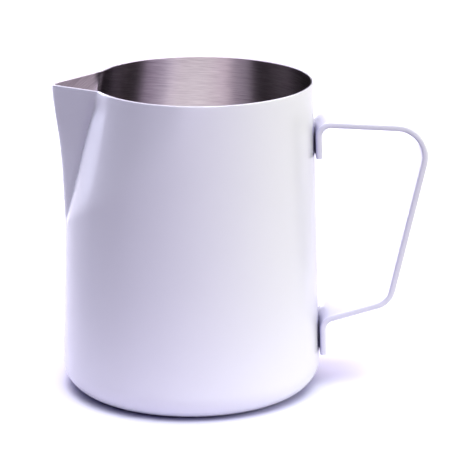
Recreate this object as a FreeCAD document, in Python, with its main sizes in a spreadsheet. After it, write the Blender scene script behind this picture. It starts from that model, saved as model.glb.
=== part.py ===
import FreeCAD, Part

import math
import os

import Sketcher

# Milk frothing pitcher: a deep-drawn stainless cup with a pressed pouring spout, a white powder
# coat on its outside, and a bent flat strap handle held by spot welds.
# Millimetres, +Z up, origin at the centre of the base on the table.
# The handle points to +X and the spout to -X; the pitcher is symmetric about the XZ plane.

Vector = FreeCAD.Vector
Rotation = FreeCAD.Rotation

DIMENSIONS = [
    ("body_height", 110.0),
    ("rim_radius", 42.54),
    ("base_radius", 46.05),
    ("base_corner_radius", 9.5),
    ("coat_thickness", 0.12),
    ("steel_wall", 0.8),
    ("base_dish_radius", 34.0),
    ("base_dish_height", 0.8),
    ("base_dish_slope", 3.0),
    # pressed spout
    ("spout_start_height", 60.0),
    ("spout_reach", 5.45),
    ("spout_keel_share", 0.42),
    ("spout_pull_in", 5.6),
    ("spout_pinch", 0.5),
    ("spout_pinch_angle", 30.0),
    ("spout_pinch_width", 9.0),
    ("spout_fold_angle", 14.5),
    ("spout_blend_angle", 111.0),
    ("nose_bluntness_top", 1.5),
    ("nose_bluntness_foot", 13.5),
    ("flank_slope_top", 1.12),
    ("flank_slope_foot", 0.9),
    ("fold_softness", 0.45),
    ("spout_onset", 0.04),
    ("rim_dip", 1.2),
    ("rim_dip_start", 29.0),
    # strap handle, described by the corners of its centre line
    ("strap_width", 20.0),
    ("strap_thickness", 2.2),
    ("strap_edge_radius", 0.8),
    ("strap_stand_off", 0.02),
    ("upper_tab_foot", 84.1),
    ("top_bar_start", 96.25),
    ("grip_top_reach", 83.63),
    ("grip_top_height", 94.23),
    ("grip_foot_reach", 69.72),
    ("grip_foot_height", 31.8),
    ("lower_bar_end", 25.14),
    ("lower_tab_foot", 12.6),
    ("tab_bend_radius", 4.1),
    ("grip_top_bend_radius", 10.4),
    ("grip_foot_bend_radius", 7.4),
    # spot welds
    ("nugget_diameter", 3.0),
    ("nugget_edge_distance", 2.6),
    ("nugget_pitch", 4.2),
]

doc = FreeCAD.newDocument("milk_frothing_pitcher")
sheet = doc.addObject("Spreadsheet::Sheet", "dimensions")
for row, (alias, value) in enumerate(DIMENSIONS, start=1):
    sheet.set("A%d" % row, alias)
    sheet.set("B%d" % row, str(value))
    sheet.setAlias("B%d" % row, alias)
doc.recompute()


def size(alias):
    """One driving dimension, read from the sheet."""
    return float(sheet.get(alias))


HEIGHT = size("body_height")
WALL_SLOPE = (size("base_radius") - size("rim_radius")) / HEIGHT
WALL_LEAN = math.degrees(math.atan(WALL_SLOPE))
TRIM_MARGIN = 4.0  # how far the pressed forms run past the lip before they are trimmed

# Levels and columns that the cup's surface is drawn through
CORNER_STEPS = 10
PLAIN_HEIGHTS = [14.0, 25.0, 40.0, 52.0, 58.0]  # straight wall, below the spout
SPOUT_STEPS = 16
SPOUT_CROWDING = 1.7  # power that crowds the levels towards the spout's foot
PATCH_ANGLES = [-180.0, -90.0, -18.0, 18.0, 90.0, 180.0]  # where the wall's faces meet


def cone_radius(height):
    """Outside radius of the coated straight wall at a height."""
    return size("base_radius") - WALL_SLOPE * height


# ---------------------------------------------------------------------------------------------
# The pressed spout. Each level is a closed curve in polar form around the cup's axis, with the
# angle counted from the spout. A hyperbola is the V-shaped nose; beside it the wall is pulled in
# towards the axis, and the two meet in a soft fold. Every part of it fades out at the spout's
# foot like the square root of the height, which gives the press mark its parabola outline.
# ---------------------------------------------------------------------------------------------

def ease(value):
    """Smooth step from 0 to 1."""
    value = min(max(value, 0.0), 1.0)
    return value * value * (3.0 - 2.0 * value)


def wall_radius(angle, height):
    """Outside radius of the coated wall; angle in radians from the spout's centre plane."""
    angle = abs(angle)
    straight = cone_radius(height)
    start = size("spout_start_height")
    rise = (height - start) / (HEIGHT - start)
    if rise <= 0.0:
        return straight
    onset = 1.0 - math.exp(-rise / size("spout_onset"))
    spread = math.sqrt(rise) * onset
    level = min(rise, 1.0)

    pull_in = size("spout_pull_in") * rise ** 0.75 * onset
    fold = math.radians(size("spout_fold_angle")) * spread
    blend = math.radians(size("spout_blend_angle")) * spread
    pinch_offset = (math.degrees(angle) - size("spout_pinch_angle")) / size("spout_pinch_width")
    side = straight - pull_in * (1.0 - ease((angle - fold) / (blend - fold)))
    side -= size("spout_pinch") * rise * math.exp(-pinch_offset ** 2)
    if angle > math.radians(60.0):
        return side

    keel = size("spout_keel_share")
    reach = size("spout_reach") * (keel * spread + (1.0 - keel) * ease(level) ** 3)
    top = size("nose_bluntness_top")
    blunt = top + (size("nose_bluntness_foot") - top) * (1.0 - level) ** 2
    foot_slope = size("flank_slope_foot")
    slope = foot_slope + (size("flank_slope_top") - foot_slope) * level
    apex = straight + reach + blunt
    square = math.sin(angle) ** 2 - (slope * math.cos(angle)) ** 2
    linear = 2.0 * slope ** 2 * apex * math.cos(angle)
    constant = slope ** 2 * (apex ** 2 - blunt ** 2)
    nose = 2.0 * constant / (linear + math.sqrt(max(linear ** 2 + 4.0 * square * constant, 0.0)))

    softness = size("fold_softness") * spread
    overlap = max(softness - abs(nose - side), 0.0) / softness
    return max(nose, side) + overlap ** 2 * softness / 4.0


def wall_point(angle, height, depth):
    """A point of a level, moved inwards by depth along the level curve's own normal."""
    step = math.radians(0.05)
    radius = wall_radius(angle, height)
    growth = (wall_radius(angle + step, height) - wall_radius(angle - step, height)) / (2.0 * step)
    length = math.hypot(radius, growth)
    inward = radius - depth * radius / length
    sideways = depth * growth / length
    along_spout = inward * math.cos(angle) - sideways * math.sin(angle)
    across = inward * math.sin(angle) + sideways * math.cos(angle)
    return Vector(-along_spout, across, height)


def level_angles():
    """Angles round a level: close together across the spout, wider apart on the round back."""
    spout_half = 48.0
    fine = 1.5
    coarse = 6.0
    coarse_count = int((180.0 - spout_half) / coarse)
    fine_count = int(2 * spout_half / fine)
    angles = [-180.0 + coarse * i for i in range(coarse_count)]
    angles += [-spout_half + fine * i for i in range(fine_count)]
    angles += [spout_half + coarse * i for i in range(coarse_count)]
    return [math.radians(angle) for angle in angles]


ANGLES = level_angles()
KNOTS = [math.degrees(angle) for angle in ANGLES] + [math.degrees(ANGLES[0]) + 360.0]


def closed_curve(points):
    """Closed smooth curve through one level's points."""
    curve = Part.BSplineCurve()
    curve.interpolate(Points=points, PeriodicFlag=True, Parameters=KNOTS)
    return curve


def cup_levels(depth):
    """Levels of the surface that lies depth inside the coated one, from the base to above the rim.

    Returns the levels' rows of points and their stations, the distances measured up the wall.
    """
    corner = size("base_corner_radius")
    lean = math.radians(WALL_LEAN)
    tangent_height = corner * (1.0 + math.sin(lean))
    centre_radius = cone_radius(tangent_height) - corner * math.cos(lean)
    rows = []
    stations = []

    for i in range(CORNER_STEPS + 1):
        turn = -math.pi / 2 + (math.pi / 2 + lean) * i / CORNER_STEPS
        radius = centre_radius + (corner - depth) * math.cos(turn)
        height = corner + (corner - depth) * math.sin(turn)
        rows.append([Vector(-radius * math.cos(a), radius * math.sin(a), height) for a in ANGLES])
        stations.append(corner * (turn + math.pi / 2))

    start = size("spout_start_height")
    heights = PLAIN_HEIGHTS + [start]
    for i in range(1, SPOUT_STEPS + 1):
        heights.append(start + (HEIGHT - start) * (i / SPOUT_STEPS) ** SPOUT_CROWDING)
    heights.append(HEIGHT + TRIM_MARGIN)
    wall_foot = stations[-1] - tangent_height
    for height in heights:
        rows.append([wall_point(angle, height, depth) for angle in ANGLES])
        stations.append(wall_foot + height)
    return rows, stations


def cup_surface(depth):
    """Smooth closed surface through the levels that lie depth inside the coated wall."""
    rows, stations = cup_levels(depth)
    curves = [closed_curve(points) for points in rows]
    pole_rows = [curve.getPoles() for curve in curves]
    columns = []
    for i in range(len(pole_rows[0])):
        column = Part.BSplineCurve()
        column.interpolate(Points=[poles[i] for poles in pole_rows], Parameters=stations)
        columns.append(column)
    surface = Part.BSplineSurface()
    surface.buildFromPolesMultsKnots(
        [column.getPoles() for column in columns],
        curves[0].getMultiplicities(),
        columns[0].getMultiplicities(),
        curves[0].getKnots(),
        columns[0].getKnots(),
        True,
        False,
        3,
        3,
    )
    return surface, stations


def shell_border(shell):
    """Edges of a shell that belong to one face only."""
    border = []
    for edge in shell.Edges:
        owners = [face for face in shell.Faces if any(edge.isSame(other) for other in face.Edges)]
        if len(owners) == 1:
            border.append(edge)
    return border


def cup_form(depth):
    """Closed solid bounded by the wall surface that lies depth inside the coated one.

    The wall is a patchwork of faces cut from one smooth surface: base corner, plain wall and spout
    zone one above the other, and nose, flanks and back side by side.
    """
    surface, stations = cup_surface(depth)
    corner_top = stations[CORNER_STEPS]
    spout_foot = stations[CORNER_STEPS + len(PLAIN_HEIGHTS) + 1]
    levels = [stations[0], corner_top, spout_foot, stations[-1]]
    patches = []
    for low, high in zip(levels, levels[1:]):
        for left, right in zip(PATCH_ANGLES, PATCH_ANGLES[1:]):
            patch = surface.copy()
            patch.segment(left, right, low, high)
            patches.append(patch.toShape())
    shell = Part.Shell(patches)
    shell.sewShape()
    rings = Part.sortEdges(shell_border(shell))
    caps = [Part.Face(Part.Wire(ring)) for ring in rings]
    closed = Part.Shell(shell.Faces + caps)
    closed.sewShape()
    return Part.Solid(closed)


def add_form(name, depth):
    """Document object for one pressed form."""
    form = doc.addObject("Part::Feature", name)
    form.Shape = cup_form(depth)
    form.Placement = FreeCAD.Placement()
    return form


def add_cut(name, base, tool):
    """Boolean cut of two document objects."""
    cut = doc.addObject("Part::Cut", name)
    cut.Base = base
    cut.Tool = tool
    return cut


def add_dish(name, depth):
    """Shallow raised panel of the base, at the level that lies depth inside the coated base."""
    dish = doc.addObject("Part::Cone", name)
    dish.setExpression("Radius1", "dimensions.base_dish_radius")
    dish.setExpression("Radius2", "dimensions.base_dish_radius - dimensions.base_dish_slope")
    dish.setExpression("Height", "dimensions.base_dish_height")
    dish.setExpression("Placement.Base.z", depth)
    return dish


def plane_of(body, role):
    """Origin plane of a body."""
    return next(f for f in body.Origin.OriginFeatures if f.Role == role)


def add_sketch(body, name, role):
    """Empty sketch on one of the body's own origin planes."""
    sketch = body.newObject("Sketcher::SketchObject", name)
    sketch.AttachmentSupport = (plane_of(body, role), "")
    sketch.MapMode = "FlatFace"
    return sketch


def bind(sketch, constraint, name, expression):
    """Add a named dimension to a sketch and tie it to the sheet."""
    index = sketch.addConstraint(constraint)
    sketch.renameConstraint(index, name)
    sketch.setExpression("Constraints." + name, expression)


# ---------------------------------------------------------------------------------------------
# Rim: everything above the lip is cut away. The lip is level and falls slightly along the spout.
# ---------------------------------------------------------------------------------------------

def add_rim_cutter(name, drop):
    """Block above the lip, lowered by an expression."""
    body = doc.addObject("PartDesign::Body", name)
    sketch = add_sketch(body, name + "_outline", "XZ_Plane")
    half = 2.0 * size("rim_radius")
    block = 4.0 * TRIM_MARGIN
    dip_start = size("rim_dip_start")
    dip_length = size("rim_radius") + size("spout_reach") - dip_start
    fall = size("rim_dip") * (half - dip_start) / dip_length
    corners = [
        (-half, HEIGHT - fall),
        (-dip_start, HEIGHT),
        (half, HEIGHT),
        (half, HEIGHT + block),
        (-half, HEIGHT + block),
    ]
    points = [Vector(x, z, 0.0) for x, z in corners]
    count = len(points)
    for i in range(count):
        sketch.addGeometry(Part.LineSegment(points[i], points[(i + 1) % count]), False)
    for i in range(count):
        sketch.addConstraint(Sketcher.Constraint("Coincident", i, 2, (i + 1) % count, 1))
    for i in (1, 3):
        sketch.addConstraint(Sketcher.Constraint("Horizontal", i))
    for i in (2, 4):
        sketch.addConstraint(Sketcher.Constraint("Vertical", i))

    half_expression = "2 * dimensions.rim_radius"
    overhang = "(2 * dimensions.rim_radius - dimensions.rim_dip_start)"
    length = "(dimensions.rim_radius + dimensions.spout_reach - dimensions.rim_dip_start)"
    fall_expression = "dimensions.rim_dip * %s / %s" % (overhang, length)
    distance_x = [
        (1, 1, -1, 1, dip_start, "dip_start", "dimensions.rim_dip_start"),
        (-1, 1, 1, 2, half, "half", half_expression),
        (0, 1, 1, 1, half - dip_start, "overhang", overhang),
    ]
    distance_y = [
        (-1, 1, 1, 1, HEIGHT, "lip", "dimensions.body_height"),
        (0, 1, 1, 1, fall, "fall", fall_expression),
        (2, 1, 2, 2, block, "block", str(block)),
    ]
    for kind, dimensions in (("DistanceX", distance_x), ("DistanceY", distance_y)):
        for first, first_end, second, second_end, value, label, expression in dimensions:
            constraint = Sketcher.Constraint(kind, first, first_end, second, second_end, value)
            bind(sketch, constraint, label, expression)

    pad = body.newObject("PartDesign::Pad", name + "_block")
    pad.Profile = sketch
    pad.Midplane = True
    pad.setExpression("Length", "4 * dimensions.rim_radius")
    body.setExpression("Placement.Base.z", drop)
    return body


# ---------------------------------------------------------------------------------------------
# Handle: one flat strap swept along its centre line. Both tabs point down the wall.
# ---------------------------------------------------------------------------------------------

def tab_reach(height):
    """Distance from the cup's axis to the middle of a tab's thickness."""
    return cone_radius(height) + size("strap_stand_off") + size("strap_thickness") / 2


def tab_reach_expression(height_alias):
    """The same as tab_reach, for the sheet."""
    slope = "(dimensions.base_radius - dimensions.rim_radius) / dimensions.body_height"
    gap = "dimensions.strap_stand_off + dimensions.strap_thickness / 2"
    return "dimensions.base_radius - %s * dimensions.%s + %s" % (slope, height_alias, gap)


def add_strap_path(body):
    """Centre line of the strap: straight runs joined by tangent bends."""
    sketch = add_sketch(body, "strap_path", "XZ_Plane")
    tab_corners = ["upper_tab_foot", "top_bar_start", "lower_bar_end", "lower_tab_foot"]
    corners = [Vector(tab_reach(size(name)), size(name), 0) for name in tab_corners]
    expressions = [(tab_reach_expression(name), "dimensions." + name) for name in tab_corners]
    grip_corners = ["grip_top", "grip_foot"]
    corners[2:2] = [Vector(size(name + "_reach"), size(name + "_height"), 0) for name in grip_corners]
    expressions[2:2] = [
        ("dimensions.%s_reach" % name, "dimensions.%s_height" % name) for name in grip_corners
    ]
    bends = ["tab_bend_radius", "grip_top_bend_radius", "grip_foot_bend_radius", "tab_bend_radius"]

    run_start = corners[0]
    arcs = []
    for i, bend in enumerate(bends, start=1):
        before = (corners[i - 1] - corners[i]).normalize()
        after = (corners[i + 1] - corners[i]).normalize()
        half_angle = before.getAngle(after) / 2
        reach = size(bend) / math.tan(half_angle)
        centre = corners[i] + (before + after).normalize() * (size(bend) / math.sin(half_angle))
        entry = corners[i] + before * reach
        leave = corners[i] + after * reach
        left_turn = (entry - run_start).cross(after).z > 0
        first, last = (entry, leave) if left_turn else (leave, entry)
        circle = Part.Circle(centre, Vector(0, 0, 1), size(bend))
        start_angle = math.atan2(first.y - centre.y, first.x - centre.x)
        end_angle = math.atan2(last.y - centre.y, last.x - centre.x)
        line_index = sketch.addGeometry(Part.LineSegment(run_start, entry), False)
        arc_index = sketch.addGeometry(Part.ArcOfCircle(circle, start_angle, end_angle), False)
        arcs.append((line_index, arc_index, left_turn, bend))
        run_start = leave
    last_line = sketch.addGeometry(Part.LineSegment(run_start, corners[5]), False)

    lines = [line for line, arc, left_turn, bend in arcs] + [last_line]
    for i, (line, arc, left_turn, bend) in enumerate(arcs):
        entry_end, leave_end = (1, 2) if left_turn else (2, 1)
        sketch.addConstraint(Sketcher.Constraint("Tangent", line, 2, arc, entry_end))
        sketch.addConstraint(Sketcher.Constraint("Tangent", arc, leave_end, lines[i + 1], 1))
        radius = Sketcher.Constraint("Radius", arc, size(bend))
        bind(sketch, radius, "bend_%d" % (i + 1), "dimensions." + bend)

    ends = {0: (lines[0], 1), 5: (lines[4], 2)}
    for i, corner in enumerate(corners):
        if i in ends:
            geometry, vertex = ends[i]
        else:
            geometry = sketch.addGeometry(Part.Point(corner), True)
            vertex = 1
            sketch.addConstraint(Sketcher.Constraint("PointOnObject", geometry, 1, lines[i - 1]))
            sketch.addConstraint(Sketcher.Constraint("PointOnObject", geometry, 1, lines[i]))
        reach_dimension = Sketcher.Constraint("DistanceX", -1, 1, geometry, vertex, corner.x)
        height_dimension = Sketcher.Constraint("DistanceY", -1, 1, geometry, vertex, corner.y)
        bind(sketch, reach_dimension, "corner_%d_reach" % i, expressions[i][0])
        bind(sketch, height_dimension, "corner_%d_height" % i, expressions[i][1])
    return sketch


def add_strap_section(body):
    """Strap cross-section at the upper tab's foot: a flat bar with rounded edges."""
    sketch = add_sketch(body, "strap_section", "XY_Plane")
    sketch.setExpression("AttachmentOffset.Base.x", tab_reach_expression("upper_tab_foot"))
    sketch.setExpression("AttachmentOffset.Base.z", "dimensions.upper_tab_foot")
    half_thick = size("strap_thickness") / 2
    half_wide = size("strap_width") / 2
    edge = size("strap_edge_radius")
    flat_x = half_thick - edge
    flat_y = half_wide - edge
    sides = [
        (Vector(-flat_x, -half_wide, 0), Vector(flat_x, -half_wide, 0)),
        (Vector(half_thick, -flat_y, 0), Vector(half_thick, flat_y, 0)),
        (Vector(flat_x, half_wide, 0), Vector(-flat_x, half_wide, 0)),
        (Vector(-half_thick, flat_y, 0), Vector(-half_thick, -flat_y, 0)),
    ]
    for start, end in sides:
        sketch.addGeometry(Part.LineSegment(start, end), False)
    centres = [(flat_x, -flat_y), (flat_x, flat_y), (-flat_x, flat_y), (-flat_x, -flat_y)]
    for i, (x, y) in enumerate(centres):
        circle = Part.Circle(Vector(x, y, 0), Vector(0, 0, 1), edge)
        start_angle = (i - 1) * math.pi / 2
        sketch.addGeometry(Part.ArcOfCircle(circle, start_angle, start_angle + math.pi / 2), False)
    for i in range(4):
        sketch.addConstraint(Sketcher.Constraint("Tangent", i, 2, 4 + i, 1))
        sketch.addConstraint(Sketcher.Constraint("Tangent", 4 + i, 2, (i + 1) % 4, 1))
    for i in (0, 2):
        sketch.addConstraint(Sketcher.Constraint("Horizontal", i))
    for i in (1, 3):
        sketch.addConstraint(Sketcher.Constraint("Vertical", i))
    for i in (5, 6, 7):
        sketch.addConstraint(Sketcher.Constraint("Equal", 4, i))
    bind(sketch, Sketcher.Constraint("Radius", 4, edge), "edge", "dimensions.strap_edge_radius")
    side_x = Sketcher.Constraint("DistanceX", -1, 1, 1, 1, half_thick)
    bind(sketch, side_x, "half_thickness", "dimensions.strap_thickness / 2")
    thickness = Sketcher.Constraint("DistanceX", 3, 1, 1, 1, 2 * half_thick)
    bind(sketch, thickness, "thickness", "dimensions.strap_thickness")
    side_y = Sketcher.Constraint("DistanceY", -1, 1, 2, 1, half_wide)
    bind(sketch, side_y, "half_width", "dimensions.strap_width / 2")
    width = Sketcher.Constraint("DistanceY", 0, 1, 2, 1, 2 * half_wide)
    bind(sketch, width, "width", "dimensions.strap_width")
    return sketch


def add_strap():
    """The bent strap before welding."""
    body = doc.addObject("PartDesign::Body", "strap_blank")
    path = add_strap_path(body)
    section = add_strap_section(body)
    doc.recompute()
    pipe = body.newObject("PartDesign::AdditivePipe", "strap_sweep")
    pipe.Profile = section
    pipe.Spine = path
    body.Tip = pipe
    return body


# ---------------------------------------------------------------------------------------------
# Spot welds: nuggets that reach from the middle of the steel wall into the tab.
# ---------------------------------------------------------------------------------------------

def add_nuggets(name, foot_alias):
    """The two nuggets of one tab, as separate solids in one group."""
    slope = "(dimensions.base_radius - dimensions.rim_radius) / dimensions.body_height"
    into_wall = "(dimensions.coat_thickness + dimensions.steel_wall / 2)"
    into_strap = "(dimensions.strap_stand_off + dimensions.strap_thickness / 4)"
    first_height = "dimensions.%s + dimensions.nugget_edge_distance" % foot_alias
    nuggets = []
    for i in range(2):
        height = "(%s + %d * dimensions.nugget_pitch)" % (first_height, i)
        reach = "dimensions.base_radius - %s * %s - %s" % (slope, height, into_wall)
        nugget = doc.addObject("Part::Cylinder", "%s_%d" % (name, i + 1))
        nugget.setExpression("Radius", "dimensions.nugget_diameter / 2")
        nugget.setExpression("Height", into_wall + " + " + into_strap)
        nugget.Placement.Rotation = Rotation(Vector(0, 1, 0), 90.0 - WALL_LEAN)
        nugget.setExpression("Placement.Base.x", reach)
        nugget.setExpression("Placement.Base.z", height)
        nuggets.append(nugget)
    group = doc.addObject("Part::Compound", name)
    group.Links = nuggets
    return group


# ---------------------------------------------------------------------------------------------
# Assembly
# ---------------------------------------------------------------------------------------------

coat_form = add_form("coat_form", 0.0)
steel_form = add_form("steel_form", size("coat_thickness"))
cavity_form = add_form("cavity_form", size("coat_thickness") + size("steel_wall"))

coat_dish = add_dish("coat_dish", "0")
steel_dish = add_dish("steel_dish", "dimensions.coat_thickness")
floor_dish = add_dish("floor_dish", "dimensions.coat_thickness + dimensions.steel_wall")

coat_rim_cutter = add_rim_cutter("coat_rim_cutter", "0")
steel_rim_cutter = add_rim_cutter("steel_rim_cutter", "-dimensions.coat_thickness")

coat_pressing = add_cut("coat_pressing", coat_form, coat_dish)
steel_pressing = add_cut("steel_pressing", steel_form, steel_dish)
cavity = add_cut("cavity", cavity_form, floor_dish)
coat_blank = add_cut("coat_blank", coat_pressing, coat_rim_cutter)
steel_blank = add_cut("steel_blank", steel_pressing, steel_rim_cutter)

upper_weld_nuggets = add_nuggets("upper_weld_nuggets", "upper_tab_foot")
lower_weld_nuggets = add_nuggets("lower_weld_nuggets", "lower_tab_foot")
strap_blank = add_strap()


def cut_welds(name, blank):
    """Cut the weld pockets of both tabs."""
    upper_cut = add_cut(name + "_upper_welds", blank, upper_weld_nuggets)
    return add_cut(name, upper_cut, lower_weld_nuggets)


steel_cup = add_cut("steel_cup", steel_blank, cavity)
coat_layer = add_cut("coat_layer", coat_blank, steel_blank)
coat_skin = add_cut("coat_skin", coat_layer, cavity)

steel_body = cut_welds("steel_body", steel_cup)
outer_coat = cut_welds("outer_coat", coat_skin)
handle_strap = cut_welds("handle_strap", strap_blank)

doc.recompute()

SUB_PARTS = [steel_body, outer_coat, handle_strap, upper_weld_nuggets, lower_weld_nuggets]

for item in doc.Objects:
    if "Invalid" in item.State or "Error" in item.State:
        raise RuntimeError("%s failed: %s" % (item.Name, item.State))
for part in SUB_PARTS:
    if part.Shape.isNull() or not part.Shape.isValid():
        raise RuntimeError("%s has no valid shape" % part.Label)

os.makedirs("parts", exist_ok=True)
for part in SUB_PARTS:
    part.Shape.exportStep("parts/%s.step" % part.Label)
    print(part.Label, "%d solids, %.0f mm3" % (len(part.Shape.Solids), part.Shape.Volume))
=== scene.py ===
import math

import bpy
import numpy as np
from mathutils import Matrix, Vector


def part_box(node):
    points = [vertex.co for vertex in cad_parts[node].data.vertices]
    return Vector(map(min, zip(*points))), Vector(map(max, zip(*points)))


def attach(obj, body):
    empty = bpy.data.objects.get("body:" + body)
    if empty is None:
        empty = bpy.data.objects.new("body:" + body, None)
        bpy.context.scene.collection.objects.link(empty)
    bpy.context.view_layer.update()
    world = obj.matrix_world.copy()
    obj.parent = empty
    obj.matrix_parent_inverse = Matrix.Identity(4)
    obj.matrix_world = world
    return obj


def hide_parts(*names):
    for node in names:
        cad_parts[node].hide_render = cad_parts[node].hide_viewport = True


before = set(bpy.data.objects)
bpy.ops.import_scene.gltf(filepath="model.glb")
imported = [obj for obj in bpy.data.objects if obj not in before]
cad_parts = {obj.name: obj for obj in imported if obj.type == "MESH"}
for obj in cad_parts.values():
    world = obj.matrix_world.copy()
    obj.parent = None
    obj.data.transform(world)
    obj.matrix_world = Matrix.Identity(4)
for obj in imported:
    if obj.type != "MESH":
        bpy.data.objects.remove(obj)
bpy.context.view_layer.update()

# Milk frothing pitcher. The CAD frame gives the place and the overall sizes of every node; the cup's
# steel, its white coat and the strap handle are rebuilt here as fine meshes of the same shape, with
# the rounded lip, the soft base panel and the weld dimples that the plain solids leave out.
# Shapes are worked out in millimetres, in the CAD frame: +Z up, spout to -X, handle to +X.

MM = 0.001


def node_box(node):
    """Lowest and highest corner of a CAD node in millimetres."""
    low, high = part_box(node)
    return np.array(low) / MM, np.array(high) / MM


_, coat_high = node_box("outer_coat")
steel_low, _ = node_box("steel_body")
strap_low, strap_high = node_box("handle_strap")

# ------------------------------------------------------------------------------------------------
# Shape, in millimetres and degrees
# ------------------------------------------------------------------------------------------------

# Cup: the sheet is the coat and the steel together; the base panel is pressed up inside a foot ring
HEIGHT = coat_high[2]
COAT = steel_low[2]
STEEL = 0.8
SHEET = COAT + STEEL
RIM_RADIUS = 42.54
BASE_RADIUS = 46.05
BASE_CORNER = 9.5
LIP_RADIUS = 0.42
DISH_RADIUS = 34.0
DISH_SLOPE = 3.0
DISH_EASE = 0.5
DISH_HEIGHT = 0.8
RIM_DIP = 1.2
RIM_DIP_START = 29.0
RIM_PASSES = 3
WALL_SLOPE = (BASE_RADIUS - RIM_RADIUS) / HEIGHT
WALL_LEAN = math.atan(WALL_SLOPE)

# Pressed spout: how it grows from its start up to the rim
SPOUT_START = 56.0
SPOUT_ONSET = 0.21
LEAST_RISE = 1e-9
# its nose, a wedge with a blunt front edge
SPOUT_REACH = 5.45
SPOUT_KEEL = 0.42
NOSE_BLUNT_TOP = 1.8
NOSE_BLUNT_FOOT = 10.8
FLANK_SLOPE_TOP = 0.95
FLANK_SLOPE_FOOT = 0.83
NOSE_LIMIT_ANGLE = 60.0
# the round wall beside it, pulled in towards the nose
SPOUT_PULL_IN = 6.7
SPOUT_PULL_IN_POWER = 0.75
SPOUT_FOLD_ANGLE = 13.7
SPOUT_BLEND_ANGLE = 106.0
SPOUT_PINCH = 0.5
SPOUT_PINCH_ANGLE = 30.0
SPOUT_PINCH_WIDTH = 9.0
# and the fold where the two meet, with a slight groove along it that fades out below the rim
FOLD_SOFTNESS = 0.3
FOLD_GROOVE = 1.1
FOLD_GROOVE_REACH = 2.2
FOLD_GROOVE_FLANK = 0.35
FOLD_GROOVE_END = 0.15
FOLD_GROOVE_ANGLES = (45.0, 57.0)

# Strap handle: corners of its centre line, as reach from the cup's axis and height
STRAP_WIDTH = strap_high[1] - strap_low[1]
STRAP_THICKNESS = 2.2
STRAP_EDGE = 0.8
STRAP_LEAST_EDGE = 0.15
STRAP_END_EASE = 0.2
STRAP_STAND_OFF = 0.02
UPPER_TAB_FOOT = 84.1
TOP_BAR_START = 96.25
GRIP_TOP = (83.63, 94.23)
GRIP_FOOT = (69.72, 31.8)
LOWER_BAR_END = 25.14
LOWER_TAB_FOOT = strap_low[2]
TAB_BEND = 4.1
GRIP_TOP_BEND = 10.4
GRIP_FOOT_BEND = 7.4

# Spot welds in each tab, and the dimples they leave in its outer face
WELDS_PER_TAB = 2
WELD_FROM_TAB_FOOT = 2.6
WELD_PITCH = 4.2
DIMPLE_RADIUS = 2.1
DIMPLE_DEPTH = 0.14
DIMPLE_STEEPNESS = 1.6
OUTER_FACE_SHARE = 0.9

# Fineness of the meshes
SPOUT_COLUMNS_HALF_ANGLE = 51.0
SPOUT_COLUMN_PITCH = 0.75
BACK_COLUMN_PITCH = 1.5
NORMAL_STEP = 0.05
PANEL_RING_RADII = [0.6, 3.0, 8.0, 14.0, 20.0, 26.0, 29.0]
DISH_RINGS = 13
CORNER_RINGS = 20
WALL_RINGS = 13
SPOUT_RINGS = 64
SPOUT_RING_CROWDING = 1.4
LIP_RINGS = 8
RUN_PITCH = 0.35
LONG_RUN = 15.0
LONG_RUN_PITCH = 2.0
BEND_PITCH = 3.0
LEAST_BEND_STEPS = 4
STRAP_EDGE_STEPS = 6
STRAP_FACE_STEPS = 48
STRAP_END_SHARES = (1.0, 0.7, 0.3)
SHARP_EDGE_ANGLE = 35.0

# ------------------------------------------------------------------------------------------------
# Finishes: lengths and heights of relief in metres
# ------------------------------------------------------------------------------------------------

# Each noise is given as its scale in features per metre, its detail and its roughness, and most of
# its values lie between these two
NOISE_LOW = 0.3
NOISE_HIGH = 0.7

COAT_LIGHT = (0.65, 0.635, 0.72)
COAT_DARK = (0.62, 0.605, 0.69)
COAT_CLOUD = (45.0, 3.0, 0.5)
COAT_PEEL = (620.0, 2.0, 0.5)
COAT_GRAIN = (2600.0, 2.0, 0.5)
COAT_CLOUD_SHARE = 0.7
COAT_GRAIN_SHARE = 0.3
COAT_ROUGHNESS = 0.24
COAT_ROUGHNESS_SPREAD = 0.02
COAT_PEEL_HEIGHT = 0.0000022
COAT_GRAIN_HEIGHT = 0.0000005
COAT_IOR = 1.5

# Brushing: each kind of mark as its length along the brushing, its pitch across it and its detail
FINE_MARKS = (0.006, 0.0002, 2.0)
MEDIUM_MARKS = (0.014, 0.0005, 2.0)
BROAD_MARKS = (0.060, 0.004, 3.0)
MARKS_ROUGHNESS = 0.6
FINE_MARKS_SHARE = 0.65
MEDIUM_MARKS_SHARE = 0.35
FINE_MARKS_HEIGHT = 0.000003
MEDIUM_MARKS_HEIGHT = 0.000006
STEEL_LIGHT = (1.0, 0.93, 0.97)
STEEL_DARK = (0.66, 0.58, 0.64)
STEEL_ROUGHNESS = 0.46
STEEL_ROUGHNESS_SPREAD = 0.04
STEEL_ANISOTROPY = 1.0
ALONG_TANGENT = 0.25

# The pressing leaves the steel inside the spout, beyond this X, rougher and grainy instead of brushed
SPOUT_GRAIN_EDGE = (-0.0345, -0.0325)
SPOUT_GRAIN = (1900.0, 3.0, 0.7)
SPOUT_GRAIN_HEIGHT = 0.00012
SPOUT_ROUGHENING = 0.2

WELD_LIGHT = (0.42, 0.4, 0.38)
WELD_DARK = (0.22, 0.21, 0.2)
WELD_MOTTLE = (1500.0, 4.0, 0.5)
WELD_MOTTLE_HEIGHT = 0.00002
WELD_ROUGHNESS = (0.45, 0.65)

FLOOR_LIGHT = (0.88, 0.86, 0.95)
FLOOR_DARK = (0.86, 0.84, 0.93)
FLOOR_MOTTLE = (60.0, 3.0, 0.5)
FLOOR_ROUGHNESS = 0.6
FLOOR_SPECULAR = 0.2

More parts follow.
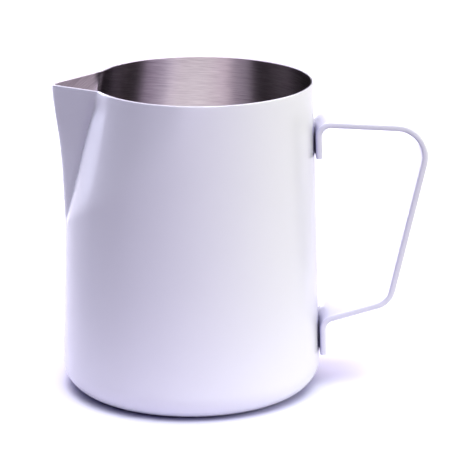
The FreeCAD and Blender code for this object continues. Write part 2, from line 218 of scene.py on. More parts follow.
# Share of the light that each finish passes on: the coat and the floor in diffuse bounces, the steel
# in mirrored ones. The floor passes on all of it near the pitcher, as if that stood on a bright card,
# and FLOOR_BOUNCE of it beyond the card's edge, which fades out between these distances.
COAT_BOUNCE = (0.3, 0.3, 0.6)
STEEL_BOUNCE = 0.2
FLOOR_BOUNCE = 0.12
CARD_EDGE = (0.07, 0.13)

# ------------------------------------------------------------------------------------------------
# Studio, in metres and degrees
# ------------------------------------------------------------------------------------------------

FLOOR_HALF = 6.0
FLOOR_DROP = 0.00005

CAMERA_PLACE = (0.0, -0.76898, 0.27273)
CAMERA_DOWN = 15.614
CAMERA_TO_THE_RIGHT = 0.893
CAMERA_SENSOR_MM = 36.0
CAMERA_LENS_MM = 180.98
CAMERA_CLIP = (0.01, 50.0)

# The camera sees a plain backdrop. Every other ray sees the sky lights, each of them as its bearing
# (from the camera's side round towards +X), half-width, height above the horizon, half-height and
# edge softness, and then its colour.
BACKDROP = (0.99, 0.985, 1.0)
SKY_LIGHTS = {
    "front_top": ((15.0, 55.0, 68.0, 10.0, 8.0), (8.5, 8.9, 9.3)),
    "back_top": ((180.0, 60.0, 58.0, 18.0, 10.0), (3.2, 2.9, 3.5)),
    "overhead": ((0.0, 180.0, 85.0, 12.0, 8.0), (4.0, 4.0, 4.0)),
}

# Rectangular softboxes at one distance from the middle of the rim, each as its bearing, half-width,
# height and half-height, and then its colour. Each group lights only some of the pieces, so that the
# steel's streaks, the coat's edges and the floor can be lit apart.
SOFTBOX_DISTANCE = 1.0
CUP_SOFTBOXES = {
    "cup_front": ((10.0, 27.0, 7.0, 10.0), (3.0, 2.7, 3.7)),
}
COAT_SOFTBOXES = {
    "coat_right": ((80.0, 32.0, 12.0, 11.0), (5.3, 5.6, 3.5)),
    "coat_back_left": ((210.0, 12.0, 12.0, 14.0), (13.0, 13.0, 13.0)),
    "coat_left_edge": ((232.0, 9.0, 14.0, 18.0), (6.7, 6.9, 9.0)),
}
STEEL_SOFTBOXES = {
    "steel_front": ((-6.0, 33.0, 27.0, 11.0), (3.0, 2.6, 2.7)),
    "steel_left": ((-45.0, 18.0, 27.0, 11.0), (2.0, 1.75, 2.15)),
    "steel_right": ((46.0, 20.0, 27.0, 11.0), (2.45, 2.05, 2.7)),
}
STRAP_SOFTBOXES = {
    "strap_back": ((180.0, 20.0, 52.0, 18.0), (7.0, 7.0, 7.0)),
}
FLOOR_SOFTBOXES = {
    "floor_front": ((0.0, 40.0, 50.0, 14.0), (1.4, 1.4, 1.4)),
    "floor_right": ((80.0, 32.0, 18.0, 13.0), (2.5, 2.5, 2.5)),
}


# ------------------------------------------------------------------------------------------------
# Cup surface
# ------------------------------------------------------------------------------------------------

def ease(value):
    """Smooth step from 0 to 1."""
    value = np.clip(value, 0.0, 1.0)
    return value * value * (3.0 - 2.0 * value)


def cone_radius(height):
    """Outside radius of the straight wall."""
    return BASE_RADIUS - WALL_SLOPE * height


def side_radius(angle, straight, rise, onset, spread):
    """Radius of the round wall where the pressing pulls it in beside the spout."""
    pull_in = SPOUT_PULL_IN * rise ** SPOUT_PULL_IN_POWER * onset
    fold = math.radians(SPOUT_FOLD_ANGLE) * spread
    blend = math.radians(SPOUT_BLEND_ANGLE) * spread
    side = straight - pull_in * (1.0 - ease((angle - fold) / (blend - fold)))
    pinch_offset = (np.degrees(angle) - SPOUT_PINCH_ANGLE) / SPOUT_PINCH_WIDTH
    return side - SPOUT_PINCH * rise * np.exp(-pinch_offset ** 2)


def nose_radius(angle, straight, level, spread):
    """Radius of the spout's nose: in plan, a hyperbola whose asymptotes are the two flanks."""
    reach = SPOUT_REACH * (SPOUT_KEEL * spread + (1.0 - SPOUT_KEEL) * ease(level) ** 3)
    blunt = NOSE_BLUNT_TOP + (NOSE_BLUNT_FOOT - NOSE_BLUNT_TOP) * (1.0 - level) ** 2
    slope = FLANK_SLOPE_FOOT + (FLANK_SLOPE_TOP - FLANK_SLOPE_FOOT) * level
    apex = straight + reach + blunt
    square = np.sin(angle) ** 2 - (slope * np.cos(angle)) ** 2
    linear = 2.0 * slope ** 2 * apex * np.cos(angle)
    constant = slope ** 2 * (apex ** 2 - blunt ** 2)
    root = np.sqrt(np.maximum(linear ** 2 + 4.0 * square * constant, 0.0))
    nose = 2.0 * constant / (linear + root)
    return np.where(angle < math.radians(NOSE_LIMIT_ANGLE), nose, 0.0)


def wall_radius(angle, height):
    """Outside radius of the coated wall; the angle is counted from the spout's centre plane."""
    angle = np.abs(angle)
    straight = cone_radius(height)
    rise = np.maximum((height - SPOUT_START) / (HEIGHT - SPOUT_START), LEAST_RISE)
    onset = 1.0 - np.exp(-rise / SPOUT_ONSET)
    spread = np.sqrt(rise) * onset
    level = np.minimum(rise, 1.0)

    side = side_radius(angle, straight, rise, onset, spread)
    nose = nose_radius(angle, straight, level, spread)
    softness = FOLD_SOFTNESS * spread
    overlap = np.maximum(softness - np.abs(nose - side), 0.0) / softness
    pressed = np.maximum(nose, side) + overlap ** 2 * softness / 4.0

    gap = side - nose
    fade = np.where(gap > 0.0, FOLD_GROOVE_REACH, FOLD_GROOVE_FLANK)
    near, far = np.radians(FOLD_GROOVE_ANGLES)
    groove = FOLD_GROOVE * spread * ease((1.0 - level) / FOLD_GROOVE_END)
    groove = groove * ease((far - angle) / (far - near))
    pressed = pressed - groove * np.exp(-np.abs(gap) / fade)
    return np.where(height > SPOUT_START, pressed, straight)


def wall_ring(angle, height, depth):
    """Points of the wall at a height, moved inwards by depth along the level curve's normal."""
    step = math.radians(NORMAL_STEP)
    radius = wall_radius(angle, height)
    growth = (wall_radius(angle + step, height) - wall_radius(angle - step, height)) / (2.0 * step)
    length = np.hypot(radius, growth)
    inward = radius - depth * radius / length
    sideways = depth * growth / length
    along_spout = inward * np.cos(angle) - sideways * np.sin(angle)
    across = inward * np.sin(angle) + sideways * np.cos(angle)
    return np.stack([-along_spout, across, np.broadcast_to(height, across.shape)], axis=1)


def column_angles():
    """Angles of the mesh columns: fine across the spout, coarser round the back."""
    half = SPOUT_COLUMNS_HALF_ANGLE
    back = np.arange(-180.0, -half, BACK_COLUMN_PITCH)
    front = np.arange(-half, half, SPOUT_COLUMN_PITCH)
    return np.radians(np.concatenate([back, front, -back[::-1][:-1]]))


ANGLES = column_angles()


def rim_height():
    """Height of the lip at each column: level, then falling a little along the spout."""
    tip = RIM_RADIUS + SPOUT_REACH
    height = np.full(len(ANGLES), HEIGHT)
    for _ in range(RIM_PASSES):
        along = wall_radius(ANGLES, height) * np.cos(ANGLES)
        fall = np.maximum(along - RIM_DIP_START, 0.0) / (tip - RIM_DIP_START)
        height = HEIGHT - RIM_DIP * fall
    return height


RIM = rim_height()


def flat_ring(radius, height):
    """Round ring on the base."""
    x = -radius * np.cos(ANGLES)
    y = radius * np.sin(ANGLES)
    return np.stack([x, y, np.full(len(ANGLES), height)], axis=1)


def base_height(radius, depth):
    """Height of the base panel, which is pressed up inside its foot ring."""
    from_edge = DISH_RADIUS + DISH_EASE - radius
    return depth + DISH_HEIGHT * ease(from_edge / (DISH_SLOPE + 2.0 * DISH_EASE))


def skin_rings(depth, lip_drop):
    """Rings of the surface at a depth, from next to the base's centre up to lip_drop below the lip."""
    tangent_height = BASE_CORNER * (1.0 + math.sin(WALL_LEAN))
    centre_radius = cone_radius(tangent_height) - BASE_CORNER * math.cos(WALL_LEAN)
    slope_start = DISH_RADIUS - DISH_SLOPE - DISH_EASE
    slope_radii = list(np.linspace(slope_start, DISH_RADIUS + DISH_EASE, DISH_RINGS))
    base_radii = PANEL_RING_RADII + slope_radii
    rings = [flat_ring(radius, base_height(radius, depth)) for radius in base_radii]

    for i in range(CORNER_RINGS + 1):
        turn = -math.pi / 2 + (math.pi / 2 + WALL_LEAN) * i / CORNER_RINGS
        radius = centre_radius + (BASE_CORNER - depth) * math.cos(turn)
        rings.append(flat_ring(radius, BASE_CORNER + (BASE_CORNER - depth) * math.sin(turn)))

    for height in np.linspace(tangent_height, SPOUT_START, WALL_RINGS + 1)[1:]:
        rings.append(wall_ring(ANGLES, np.full(len(ANGLES), height), depth))

    top = RIM - lip_drop
    for i in range(1, SPOUT_RINGS + 1):
        share = (i / SPOUT_RINGS) ** SPOUT_RING_CROWDING
        rings.append(wall_ring(ANGLES, SPOUT_START + (top - SPOUT_START) * share, depth))
    return rings


def lip_rings(depth):
    """Rings of the lip's rounded outer edge at a depth, from the wall up to the crest."""
    radius = LIP_RADIUS - depth
    rings = []
    for i in range(1, LIP_RINGS + 1):
        turn = math.pi / 2 * i / LIP_RINGS
        ring_depth = depth + radius * (1.0 - math.cos(turn))
        ring_drop = depth + radius * (1.0 - math.sin(turn))
        rings.append(wall_ring(ANGLES, RIM - ring_drop, ring_depth))
    return rings


# ------------------------------------------------------------------------------------------------
# Cup meshes
# ------------------------------------------------------------------------------------------------

def build_mesh(name, vertices, faces):
    """Smooth-shaded mesh object from millimetre points, with its sharp edges kept sharp."""
    mesh = bpy.data.meshes.new(name)
    mesh.from_pydata([tuple(v) for v in np.asarray(vertices) * MM], [], faces)
    mesh.update()
    mesh.shade_smooth()
    mesh.set_sharp_from_angle(angle=math.radians(SHARP_EDGE_ANGLE))
    piece = bpy.data.objects.new(name, mesh)
    bpy.context.scene.collection.objects.link(piece)
    return piece


def turned_shell(name, rings, first_pole, last_pole):
    """Closed shell: rings joined in order, with a fan to a pole point at either end."""
    count = len(ANGLES)
    vertices = [first_pole] + [point for ring in rings for point in ring] + [last_pole]
    last = len(vertices) - 1
    faces = []
    for j in range(count):
        k = (j + 1) % count
        faces.append((0, 1 + j, 1 + k))
        for i in range(len(rings) - 1):
            a = 1 + i * count
            b = a + count
            faces.append((a + j, b + j, b + k, a + k))
        end = 1 + (len(rings) - 1) * count
        faces.append((last, end + k, end + j))
    return build_mesh(name, vertices, faces)


def make_cup_coat():
    """White coat: outside of the cup up to the crest of the lip, and back down under itself."""
    outside = skin_rings(0.0, LIP_RADIUS) + lip_rings(0.0)
    underside = skin_rings(COAT, LIP_RADIUS) + lip_rings(COAT)
    rings = outside + underside[::-1]
    return turned_shell("cup_coat", rings, (0, 0, DISH_HEIGHT), (0, 0, DISH_HEIGHT + COAT))


def make_cup_steel():
    """Steel sheet: outside under the coat, lip, bare inside and raised floor."""
    outside = skin_rings(COAT, LIP_RADIUS) + lip_rings(COAT)
    inside = skin_rings(SHEET, COAT)
    rings = outside + inside[::-1]
    return turned_shell("cup_steel", rings, (0, 0, DISH_HEIGHT + COAT), (0, 0, DISH_HEIGHT + SHEET))


# ------------------------------------------------------------------------------------------------
# Strap handle
# ------------------------------------------------------------------------------------------------

def tab_point(height):
    """Point of the centre line at a height, where the tab lies against the wall."""
    reach = cone_radius(height) + STRAP_STAND_OFF + STRAP_THICKNESS / 2
    return np.array([reach, height])


def straight_stations(start, end):
    """Stations along a straight run, without its last point; long runs are coarser."""
    length = np.linalg.norm(end - start)
    direction = (end - start) / length
    pitch = RUN_PITCH if length < LONG_RUN else LONG_RUN_PITCH
    steps = max(int(length / pitch), 1)
    return [(start + direction * length * i / steps, direction) for i in range(steps)]


def bend_stations(before, corner, after, bend):
    """Stations round one bend, and the points where the straight runs enter and leave it."""
    to_before = before - corner
    to_before = to_before / np.linalg.norm(to_before)
    to_after = after - corner
    to_after = to_after / np.linalg.norm(to_after)
    half = math.acos(np.clip(to_before @ to_after, -1.0, 1.0)) / 2
    entry = corner + to_before * bend / math.tan(half)
    leave = corner + to_after * bend / math.tan(half)
    middle = to_before + to_after
    centre = corner + middle / np.linalg.norm(middle) * bend / math.sin(half)

    sweep = math.pi - 2 * half
    side = entry - centre
    turn_sign = np.sign(side[0] * -to_before[1] - side[1] * -to_before[0])
    steps = max(int(sweep / math.radians(BEND_PITCH)), LEAST_BEND_STEPS)
    stations = []
    for i in range(steps):
        turn = turn_sign * sweep * i / steps
        cos, sin = math.cos(turn), math.sin(turn)
        spin = np.array([[cos, -sin], [sin, cos]])
        stations.append((centre + spin @ side, spin @ -to_before))
    return entry, stations, leave


def strap_stations():
    """Centre-line stations of the strap: (point, direction) pairs in the XZ plane."""
    corners = [
        tab_point(UPPER_TAB_FOOT),
        tab_point(TOP_BAR_START),
        np.array(GRIP_TOP),
        np.array(GRIP_FOOT),
        tab_point(LOWER_BAR_END),
        tab_point(LOWER_TAB_FOOT),
    ]
    bends = [TAB_BEND, GRIP_TOP_BEND, GRIP_FOOT_BEND, TAB_BEND]
    stations = []
    start = corners[0]
    for i, bend in enumerate(bends, start=1):
        entry, round_bend, leave = bend_stations(corners[i - 1], corners[i], corners[i + 1], bend)
        stations += straight_stations(start, entry)
        stations += round_bend
        start = leave
    end = corners[-1]
    stations += straight_stations(start, end)
    stations.append((end, (end - start) / np.linalg.norm(end - start)))
    return stations


def eased_end(point, inward, direction):
    """Sections of one cut end with rounded edges, from the outermost one inwards."""
    sections = []
    for share in STRAP_END_SHARES:
        inset = STRAP_END_EASE * (1.0 - math.sqrt(1.0 - share ** 2))
        sections.append((point + inward * STRAP_END_EASE * (1.0 - share), direction, inset))
    return sections


def strap_section(inset):
    """Closed outline of the strap: thickness and width coordinates, edges rounded."""
    half_thick = STRAP_THICKNESS / 2 - inset
    half_wide = STRAP_WIDTH / 2 - inset
    edge = max(STRAP_EDGE - inset, STRAP_LEAST_EDGE)
    outline = []
    for quarter, (sx, sy) in enumerate([(1, 1), (-1, 1), (-1, -1), (1, -1)]):
        cx, cy = sx * (half_thick - edge), sy * (half_wide - edge)
        for i in range(STRAP_EDGE_STEPS + 1):
            turn = math.pi / 2 * (quarter + i / STRAP_EDGE_STEPS)
            outline.append((cx + edge * math.cos(turn), cy + edge * math.sin(turn)))
        if quarter in (1, 3):
            face = np.linspace(cy, -cy, STRAP_FACE_STEPS + 1)[1:-1]
            outline += [(sx * half_thick, y) for y in face]
    return np.array(outline)


def weld_dimples(points, tab_foot):
    """Pull the tab's outer face in a little over each spot weld."""
    for i in range(WELDS_PER_TAB):
        centre_height = tab_foot + WELD_FROM_TAB_FOOT + WELD_PITCH * i
        away = np.hypot(points[:, 1], points[:, 2] - centre_height)
        out = points[:, 0] - cone_radius(points[:, 2]) - STRAP_STAND_OFF
        outer_face = out > STRAP_THICKNESS * OUTER_FACE_SHARE
        dip = DIMPLE_DEPTH * ease((DIMPLE_RADIUS - away) / DIMPLE_RADIUS * DIMPLE_STEEPNESS)
        points[:, 0] -= dip * outer_face
    return points


def make_strap_handle():
    """Flat strap swept along its bent centre line, with eased edges and cut ends."""
    stations = strap_stations()
    first, first_way = stations[0]
    last, last_way = stations[-1]
    sections = eased_end(first, first_way, first_way)
    for point, direction in stations:
        from_end = min(np.linalg.norm(point - first), np.linalg.norm(point - last))
        if from_end > STRAP_END_EASE:
            sections.append((point, direction, 0.0))
    sections += eased_end(last, -last_way, last_way)[::-1]

    rings = []
    for point, direction, inset in sections:
        normal = np.array([-direction[1], direction[0]])
        outline = strap_section(inset)
        x = point[0] + normal[0] * outline[:, 0]
        z = point[1] + normal[1] * outline[:, 0]
        rings.append(np.stack([x, outline[:, 1], z], axis=1))
    points = np.concatenate(rings)
    upper = points[:, 2] > (UPPER_TAB_FOOT + LOWER_TAB_FOOT) / 2
    upper_tab = upper & (points[:, 2] < TOP_BAR_START - TAB_BEND)
    lower_tab = ~upper & (points[:, 2] < LOWER_BAR_END - TAB_BEND)
    points[upper_tab] = weld_dimples(points[upper_tab], UPPER_TAB_FOOT)
    points[lower_tab] = weld_dimples(points[lower_tab], LOWER_TAB_FOOT)

    count = len(rings[0])
    faces = []
    for i in range(len(rings) - 1):
        a, b = i * count, (i + 1) * count
        for j in range(count):
            k = (j + 1) % count
            faces.append((a + j, a + k, b + k, b + j))
    last_ring = (len(rings) - 1) * count
    faces.append(tuple(range(count))[::-1])
    faces.append(tuple(last_ring + j for j in range(count)))
    return build_mesh("strap_handle", points, faces)


# ------------------------------------------------------------------------------------------------
# Shader nodes
# ------------------------------------------------------------------------------------------------

# Sockets of the mix node when it mixes colours
MIX_FACTOR = 0
MIX_FIRST = 6
MIX_SECOND = 7
MIX_RESULT = 2


def plug(tree, node, inputs):
    """Fill a node's inputs with values, or link them from sockets."""
    for key, value in inputs.items():
        if isinstance(value, bpy.types.NodeSocket):
            tree.links.new(value, node.inputs[key])
        else:
            node.inputs[key].default_value = value


def add_node(tree, kind, settings=None, inputs=None):
    """Add a shader node. Settings are its properties; inputs are values, or sockets to link from."""
    node = tree.nodes.new(kind)
    for key, value in (settings or {}).items():
        setattr(node, key, value)
    plug(tree, node, inputs or {})
    return node


def math_node(tree, operation, first, second=0.0):
    """Output of a math node."""
    return add_node(tree, "ShaderNodeMath", {"operation": operation}, {0: first, 1: second}).outputs[0]


def vector_node(tree, operation, first, second=None, result="Vector"):
    """Output of a vector-math node."""
    inputs = {0: first}
    if second is not None:
        inputs[1] = second
    return add_node(tree, "ShaderNodeVectorMath", {"operation": operation}, inputs).outputs[result]


def scaled(tree, vector, factor):
    """A vector or a colour times a number."""
    inputs = {0: vector, "Scale": factor}
    return add_node(tree, "ShaderNodeVectorMath", {"operation": "SCALE"}, inputs).outputs["Vector"]


def blend_of(tree, first, first_share, second, second_share):
    """Two values added up in the given shares."""
    first = math_node(tree, "MULTIPLY", first, first_share)
    second = math_node(tree, "MULTIPLY", second, second_share)
    return math_node(tree, "ADD", first, second)


def noise_node(tree, vector, noise):
    """Factor output of a noise texture, from its scale, detail and roughness."""
    scale, detail, roughness = noise
    inputs = {"Vector": vector, "Scale": scale, "Detail": detail, "Roughness": roughness}
    return add_node(tree, "ShaderNodeTexNoise", {}, inputs).outputs["Fac"]


def range_node(tree, value, low, high, new_low, new_high, interpolation="LINEAR"):
    """Remap a value from one range to another, clamped."""
    inputs = {
        "Value": value,
        "From Min": low,
        "From Max": high,
        "To Min": new_low,
        "To Max": new_high,
    }
    settings = {"interpolation_type": interpolation}
    return add_node(tree, "ShaderNodeMapRange", settings, inputs).outputs["Result"]


def mix_node(tree, factor, first, second):
    """Mix of two RGBA colours or colour sockets."""
    inputs = {MIX_FACTOR: factor, MIX_FIRST: first, MIX_SECOND: second}
    return add_node(tree, "ShaderNodeMix", {"data_type": "RGBA"}, inputs).outputs[MIX_RESULT]


def tone_node(tree, factor, dark, light):
    """Colour between a dark and a light tone."""
    return mix_node(tree, factor, (*dark, 1.0), (*light, 1.0))


def indirect_node(tree, ray, colour, passed_on):
    """The colour itself, or what it passes on where a bounced ray of that kind meets it."""
    bounced = add_node(tree, "ShaderNodeLightPath").outputs[ray]
    return mix_node(tree, bounced, colour, passed_on)


def bump_node(tree, height, distance, normal=None):
    """Normal output of a bump node; distance is the real height of the relief in metres."""
    inputs = {"Height": height, "Distance": distance, "Strength": 1.0}
    if normal is not None:
        inputs["Normal"] = normal
    return add_node(tree, "ShaderNodeBump", {}, inputs).outputs["Normal"]


# ------------------------------------------------------------------------------------------------
# Materials
# ------------------------------------------------------------------------------------------------

def new_material(name):
    """Material with a principled shader, and the object coordinates to drive it."""
    material = bpy.data.materials.new(name)
    material.use_nodes = True
    tree = material.node_tree
    position = add_node(tree, "ShaderNodeTexCoord").outputs["Object"]
    return material, tree, tree.nodes["Principled BSDF"], position


def white_coat_material():
    """Satin powder coat: near white, with a very fine orange peel and faint unevenness."""
    material, tree, shader, position = new_material("white_powder_coat")
    cloud = noise_node(tree, position, COAT_CLOUD)
    grain = noise_node(tree, position, COAT_GRAIN)
    peel = noise_node(tree, position, COAT_PEEL)
    shade = blend_of(tree, cloud, COAT_CLOUD_SHARE, grain, COAT_GRAIN_SHARE)
    colour = tone_node(tree, shade, COAT_DARK, COAT_LIGHT)
    passed_on = vector_node(tree, "MULTIPLY", colour, COAT_BOUNCE)
    colour = indirect_node(tree, "Is Diffuse Ray", colour, passed_on)
    smooth = COAT_ROUGHNESS - COAT_ROUGHNESS_SPREAD
    rough = COAT_ROUGHNESS + COAT_ROUGHNESS_SPREAD
    roughness = range_node(tree, cloud, NOISE_LOW, NOISE_HIGH, smooth, rough)
    normal = bump_node(tree, peel, COAT_PEEL_HEIGHT)
    normal = bump_node(tree, grain, COAT_GRAIN_HEIGHT, normal)
    look = {"Base Color": colour, "Roughness": roughness, "Normal": normal, "IOR": COAT_IOR}
    plug(tree, shader, look)
    return material


def brushed_marks(tree, axes, across, marks):
    """Noise drawn out round the axis, for marks given as their length, pitch and detail."""
    length, pitch, detail = marks
    stretched = {
        "X": math_node(tree, "DIVIDE", axes["X"], length),
        "Y": math_node(tree, "DIVIDE", axes["Y"], length),
        "Z": math_node(tree, "DIVIDE", across, pitch),
    }
    vector = add_node(tree, "ShaderNodeCombineXYZ", {}, stretched).outputs[0]
    return noise_node(tree, vector, (1.0, detail, MARKS_ROUGHNESS))


def brushed_steel_material():
    """Bare steel, brushed round the cup and in circles on its floor, and grainy in the spout."""
    material, tree, shader, position = new_material("brushed_steel")
    axes = add_node(tree, "ShaderNodeSeparateXYZ", {}, {0: position}).outputs
    flat = vector_node(tree, "MULTIPLY", position, (1.0, 1.0, 0.0))
    radius = vector_node(tree, "LENGTH", flat, result="Value")
    across = math_node(tree, "ADD", axes["Z"], radius)
    fine = brushed_marks(tree, axes, across, FINE_MARKS)
    medium = brushed_marks(tree, axes, across, MEDIUM_MARKS)
    broad = brushed_marks(tree, axes, across, BROAD_MARKS)

    marks = blend_of(tree, fine, FINE_MARKS_SHARE, medium, MEDIUM_MARKS_SHARE)
    marks = range_node(tree, marks, NOISE_LOW, NOISE_HIGH, 0.0, 1.0)
    colour = tone_node(tree, marks, STEEL_DARK, STEEL_LIGHT)
    colour = indirect_node(tree, "Is Glossy Ray", colour, scaled(tree, colour, STEEL_BOUNCE))

    in_spout = range_node(tree, axes["X"], *SPOUT_GRAIN_EDGE, 1.0, 0.0)
    smooth = STEEL_ROUGHNESS - STEEL_ROUGHNESS_SPREAD
    rough = STEEL_ROUGHNESS + STEEL_ROUGHNESS_SPREAD
    roughness = range_node(tree, broad, NOISE_LOW, NOISE_HIGH, smooth, rough)
    roughening = math_node(tree, "MULTIPLY", in_spout, SPOUT_ROUGHENING)
    roughness = math_node(tree, "ADD", roughness, roughening)
    brushed = math_node(tree, "SUBTRACT", 1.0, in_spout)
    anisotropy = math_node(tree, "MULTIPLY", brushed, STEEL_ANISOTROPY)

    grain = noise_node(tree, position, SPOUT_GRAIN)
    normal = bump_node(tree, fine, FINE_MARKS_HEIGHT)
    normal = bump_node(tree, medium, MEDIUM_MARKS_HEIGHT, normal)
    grain_in_spout = math_node(tree, "MULTIPLY", grain, in_spout)
    normal = bump_node(tree, grain_in_spout, SPOUT_GRAIN_HEIGHT, normal)

    around = vector_node(tree, "CROSS_PRODUCT", (0.0, 0.0, 1.0), flat)
    around = vector_node(tree, "NORMALIZE", around)
    to_world = {"vector_type": "VECTOR", "convert_from": "OBJECT", "convert_to": "WORLD"}
    tangent = add_node(tree, "ShaderNodeVectorTransform", to_world, {0: around}).outputs[0]
    look = {
        "Base Color": colour,
        "Metallic": 1.0,
        "Roughness": roughness,
        "Anisotropic": anisotropy,
        "Anisotropic Rotation": ALONG_TANGENT,
        "Tangent": tangent,
        "Normal": normal,
    }
    plug(tree, shader, look)
    return material


def weld_material():
    """Dull, slightly mottled weld metal."""
    material, tree, shader, position = new_material("weld_metal")
    mottle = noise_node(tree, position, WELD_MOTTLE)
    look = {
        "Base Color": tone_node(tree, mottle, WELD_DARK, WELD_LIGHT),
        "Metallic": 1.0,
        "Roughness": range_node(tree, mottle, NOISE_LOW, NOISE_HIGH, *WELD_ROUGHNESS),
        "Normal": bump_node(tree, mottle, WELD_MOTTLE_HEIGHT),
    }
    plug(tree, shader, look)
    return material


def floor_material():
    """Plain pale floor with a matt, barely mottled surface."""
    material, tree, shader, position = new_material("pale_floor")
    mottle = noise_node(tree, position, FLOOR_MOTTLE)
    colour = tone_node(tree, mottle, FLOOR_DARK, FLOOR_LIGHT)
    away = vector_node(tree, "LENGTH", position, result="Value")
    bounce = range_node(tree, away, *CARD_EDGE, 1.0, FLOOR_BOUNCE)
    colour = indirect_node(tree, "Is Diffuse Ray", colour, scaled(tree, colour, bounce))
    look = {
        "Base Color": colour,
        "Roughness": FLOOR_ROUGHNESS,
        "Specular IOR Level": FLOOR_SPECULAR,
    }
    plug(tree, shader, look)
    return material


# ------------------------------------------------------------------------------------------------
# Floor, camera and lights
# ------------------------------------------------------------------------------------------------

def make_floor():
    """Large flat floor just under the foot ring."""
    half = FLOOR_HALF
    corners = [(-half, -half), (half, -half), (half, half), (-half, half)]
    mesh = bpy.data.meshes.new("floor")
    mesh.from_pydata([(x, y, -FLOOR_DROP) for x, y in corners], [], [(0, 1, 2, 3)])
    floor = bpy.data.objects.new("floor", mesh)
    bpy.context.scene.collection.objects.link(floor)
    floor.data.materials.append(floor_material())
    return floor


def make_camera():
    """Long-lens camera a little above the rim, looking slightly down at the cup."""
    data = bpy.data.cameras.new("camera")
    data.sensor_width = CAMERA_SENSOR_MM
    data.lens = CAMERA_LENS_MM
    data.clip_start, data.clip_end = CAMERA_CLIP
    camera = bpy.data.objects.new("camera", data)
    camera.location = CAMERA_PLACE
    tilt = math.radians(90.0 - CAMERA_DOWN)
    camera.rotation_euler = (tilt, 0.0, math.radians(-CAMERA_TO_THE_RIGHT))
    bpy.context.scene.collection.objects.link(camera)
    bpy.context.scene.camera = camera


def soft_edge(tree, distance, half, softness):
    """One inside a half-width, zero past it, with a smooth edge; all are angles in radians."""
    return range_node(tree, distance, half - softness, half + softness, 1.0, 0.0, "SMOOTHSTEP")


def sky_light_shape(tree, direction, sky_light):
    """Strength of one sky light over the sky, from its bearing, height, half sizes and softness."""
    bearing, half_width, height, half_height, softness = [math.radians(v) for v in sky_light]
    forward_axis = (math.sin(bearing), -math.cos(bearing), 0.0)
    side_axis = (math.cos(bearing), math.sin(bearing), 0.0)
    forward = vector_node(tree, "DOT_PRODUCT", direction, forward_axis, "Value")
    side = vector_node(tree, "DOT_PRODUCT", direction, side_axis, "Value")
    up = add_node(tree, "ShaderNodeSeparateXYZ", {}, {0: direction}).outputs["Z"]
    turn = math_node(tree, "ABSOLUTE", math_node(tree, "ARCTAN2", side, forward))
    lift = math_node(tree, "SUBTRACT", math_node(tree, "ARCSINE", up), height)
    across = soft_edge(tree, turn, half_width, softness)
    along = soft_edge(tree, math_node(tree, "ABSOLUTE", lift), half_height, softness)
    return math_node(tree, "MULTIPLY", across, along)


def make_world():
    """Sky that is black but for its soft lights; the camera itself sees the plain backdrop."""
    world = bpy.data.worlds.new("studio")
    bpy.context.scene.world = world
    world.use_nodes = True
    tree = world.node_tree
    tree.nodes.clear()
    generated = add_node(tree, "ShaderNodeTexCoord").outputs["Generated"]
    direction = vector_node(tree, "NORMALIZE", generated)
    sky = (0.0, 0.0, 0.0)
    for sky_light, colour in SKY_LIGHTS.values():
        shape = sky_light_shape(tree, direction, sky_light)
        sky = vector_node(tree, "ADD", sky, scaled(tree, colour, shape))
    studio = add_node(tree, "ShaderNodeBackground", {}, {"Color": sky}).outputs[0]
    plain = add_node(tree, "ShaderNodeBackground", {}, {"Color": (*BACKDROP, 1.0)}).outputs[0]
    seen = add_node(tree, "ShaderNodeLightPath").outputs["Is Camera Ray"]
    mixed = add_node(tree, "ShaderNodeMixShader", {}, {0: seen, 1: studio, 2: plain}).outputs[0]
    add_node(tree, "ShaderNodeOutputWorld", {}, {"Surface": mixed})


def linked_collection(name, pieces):
    """Collection for light linking."""
    collection = bpy.data.collections.new(name)
    for piece in pieces:
        collection.objects.link(piece)
    return collection


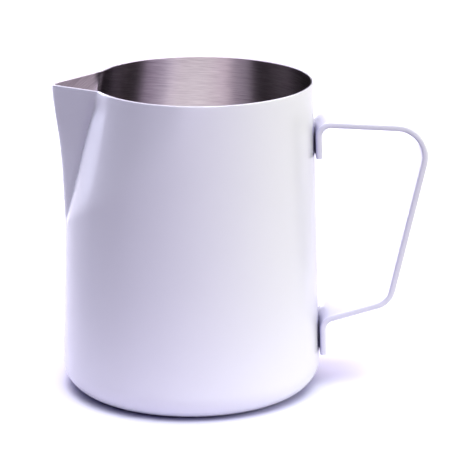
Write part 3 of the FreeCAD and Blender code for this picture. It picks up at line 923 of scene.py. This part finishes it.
def make_softboxes(softboxes, name, receivers, blockers):
    """Area lights round the rim: they light only the receivers, and only blockers shade them."""
    lit = linked_collection(name, receivers)
    shading = linked_collection(name + "_shade", blockers)
    rim_centre = Vector((0.0, 0.0, HEIGHT * MM))
    for light_name, (softbox, colour) in softboxes.items():
        bearing, half_width, height, half_height = [math.radians(v) for v in softbox]
        data = bpy.data.lights.new(light_name, "AREA")
        data.shape = "RECTANGLE"
        data.size = 2.0 * SOFTBOX_DISTANCE * math.tan(half_width)
        data.size_y = 2.0 * SOFTBOX_DISTANCE * math.tan(half_height)
        # A panel that looks as bright as its colour sends out pi watts a square metre
        data.color = colour
        data.energy = math.pi * data.size * data.size_y
        light = bpy.data.objects.new(light_name, data)
        aim_x = math.sin(bearing) * math.cos(height)
        aim_y = -math.cos(bearing) * math.cos(height)
        aim = Vector((aim_x, aim_y, math.sin(height)))
        light.location = rim_centre + aim * SOFTBOX_DISTANCE
        light.rotation_euler = aim.to_track_quat("Z", "Y").to_euler()
        light.visible_camera = False
        bpy.context.scene.collection.objects.link(light)
        light.light_linking.receiver_collection = lit
        light.light_linking.blocker_collection = shading


# ------------------------------------------------------------------------------------------------
# Scene
# ------------------------------------------------------------------------------------------------

def finish_piece(piece, node, material):
    """Give a rebuilt piece its material, and put it in the frame in place of its CAD node."""
    piece.data.materials.append(material)
    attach(piece, "root")
    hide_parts(node)


white_coat = white_coat_material()
brushed_steel = brushed_steel_material()

cup_coat = make_cup_coat()
finish_piece(cup_coat, "outer_coat", white_coat)

cup_steel = make_cup_steel()
finish_piece(cup_steel, "steel_body", brushed_steel)

strap_handle = make_strap_handle()
finish_piece(strap_handle, "handle_strap", white_coat)

# The weld nuggets keep their CAD mesh
weld_metal = weld_material()
for node_name in ("upper_weld_nuggets", "lower_weld_nuggets"):
    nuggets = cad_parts[node_name]
    nuggets.data.materials.clear()
    nuggets.data.materials.append(weld_metal)

floor = make_floor()
make_camera()
make_world()
coated = [cup_coat, strap_handle]
pitcher = coated + [cup_steel]
make_softboxes(CUP_SOFTBOXES, "lit_cup", coated, pitcher)
make_softboxes(COAT_SOFTBOXES, "lit_coat", coated, pitcher)
make_softboxes(STEEL_SOFTBOXES, "lit_steel", [cup_steel], pitcher)
make_softboxes(STRAP_SOFTBOXES, "lit_strap", [strap_handle], pitcher)
make_softboxes(FLOOR_SOFTBOXES, "lit_floor", [floor], pitcher)

scene = bpy.context.scene
scene.view_settings.view_transform = "Standard"
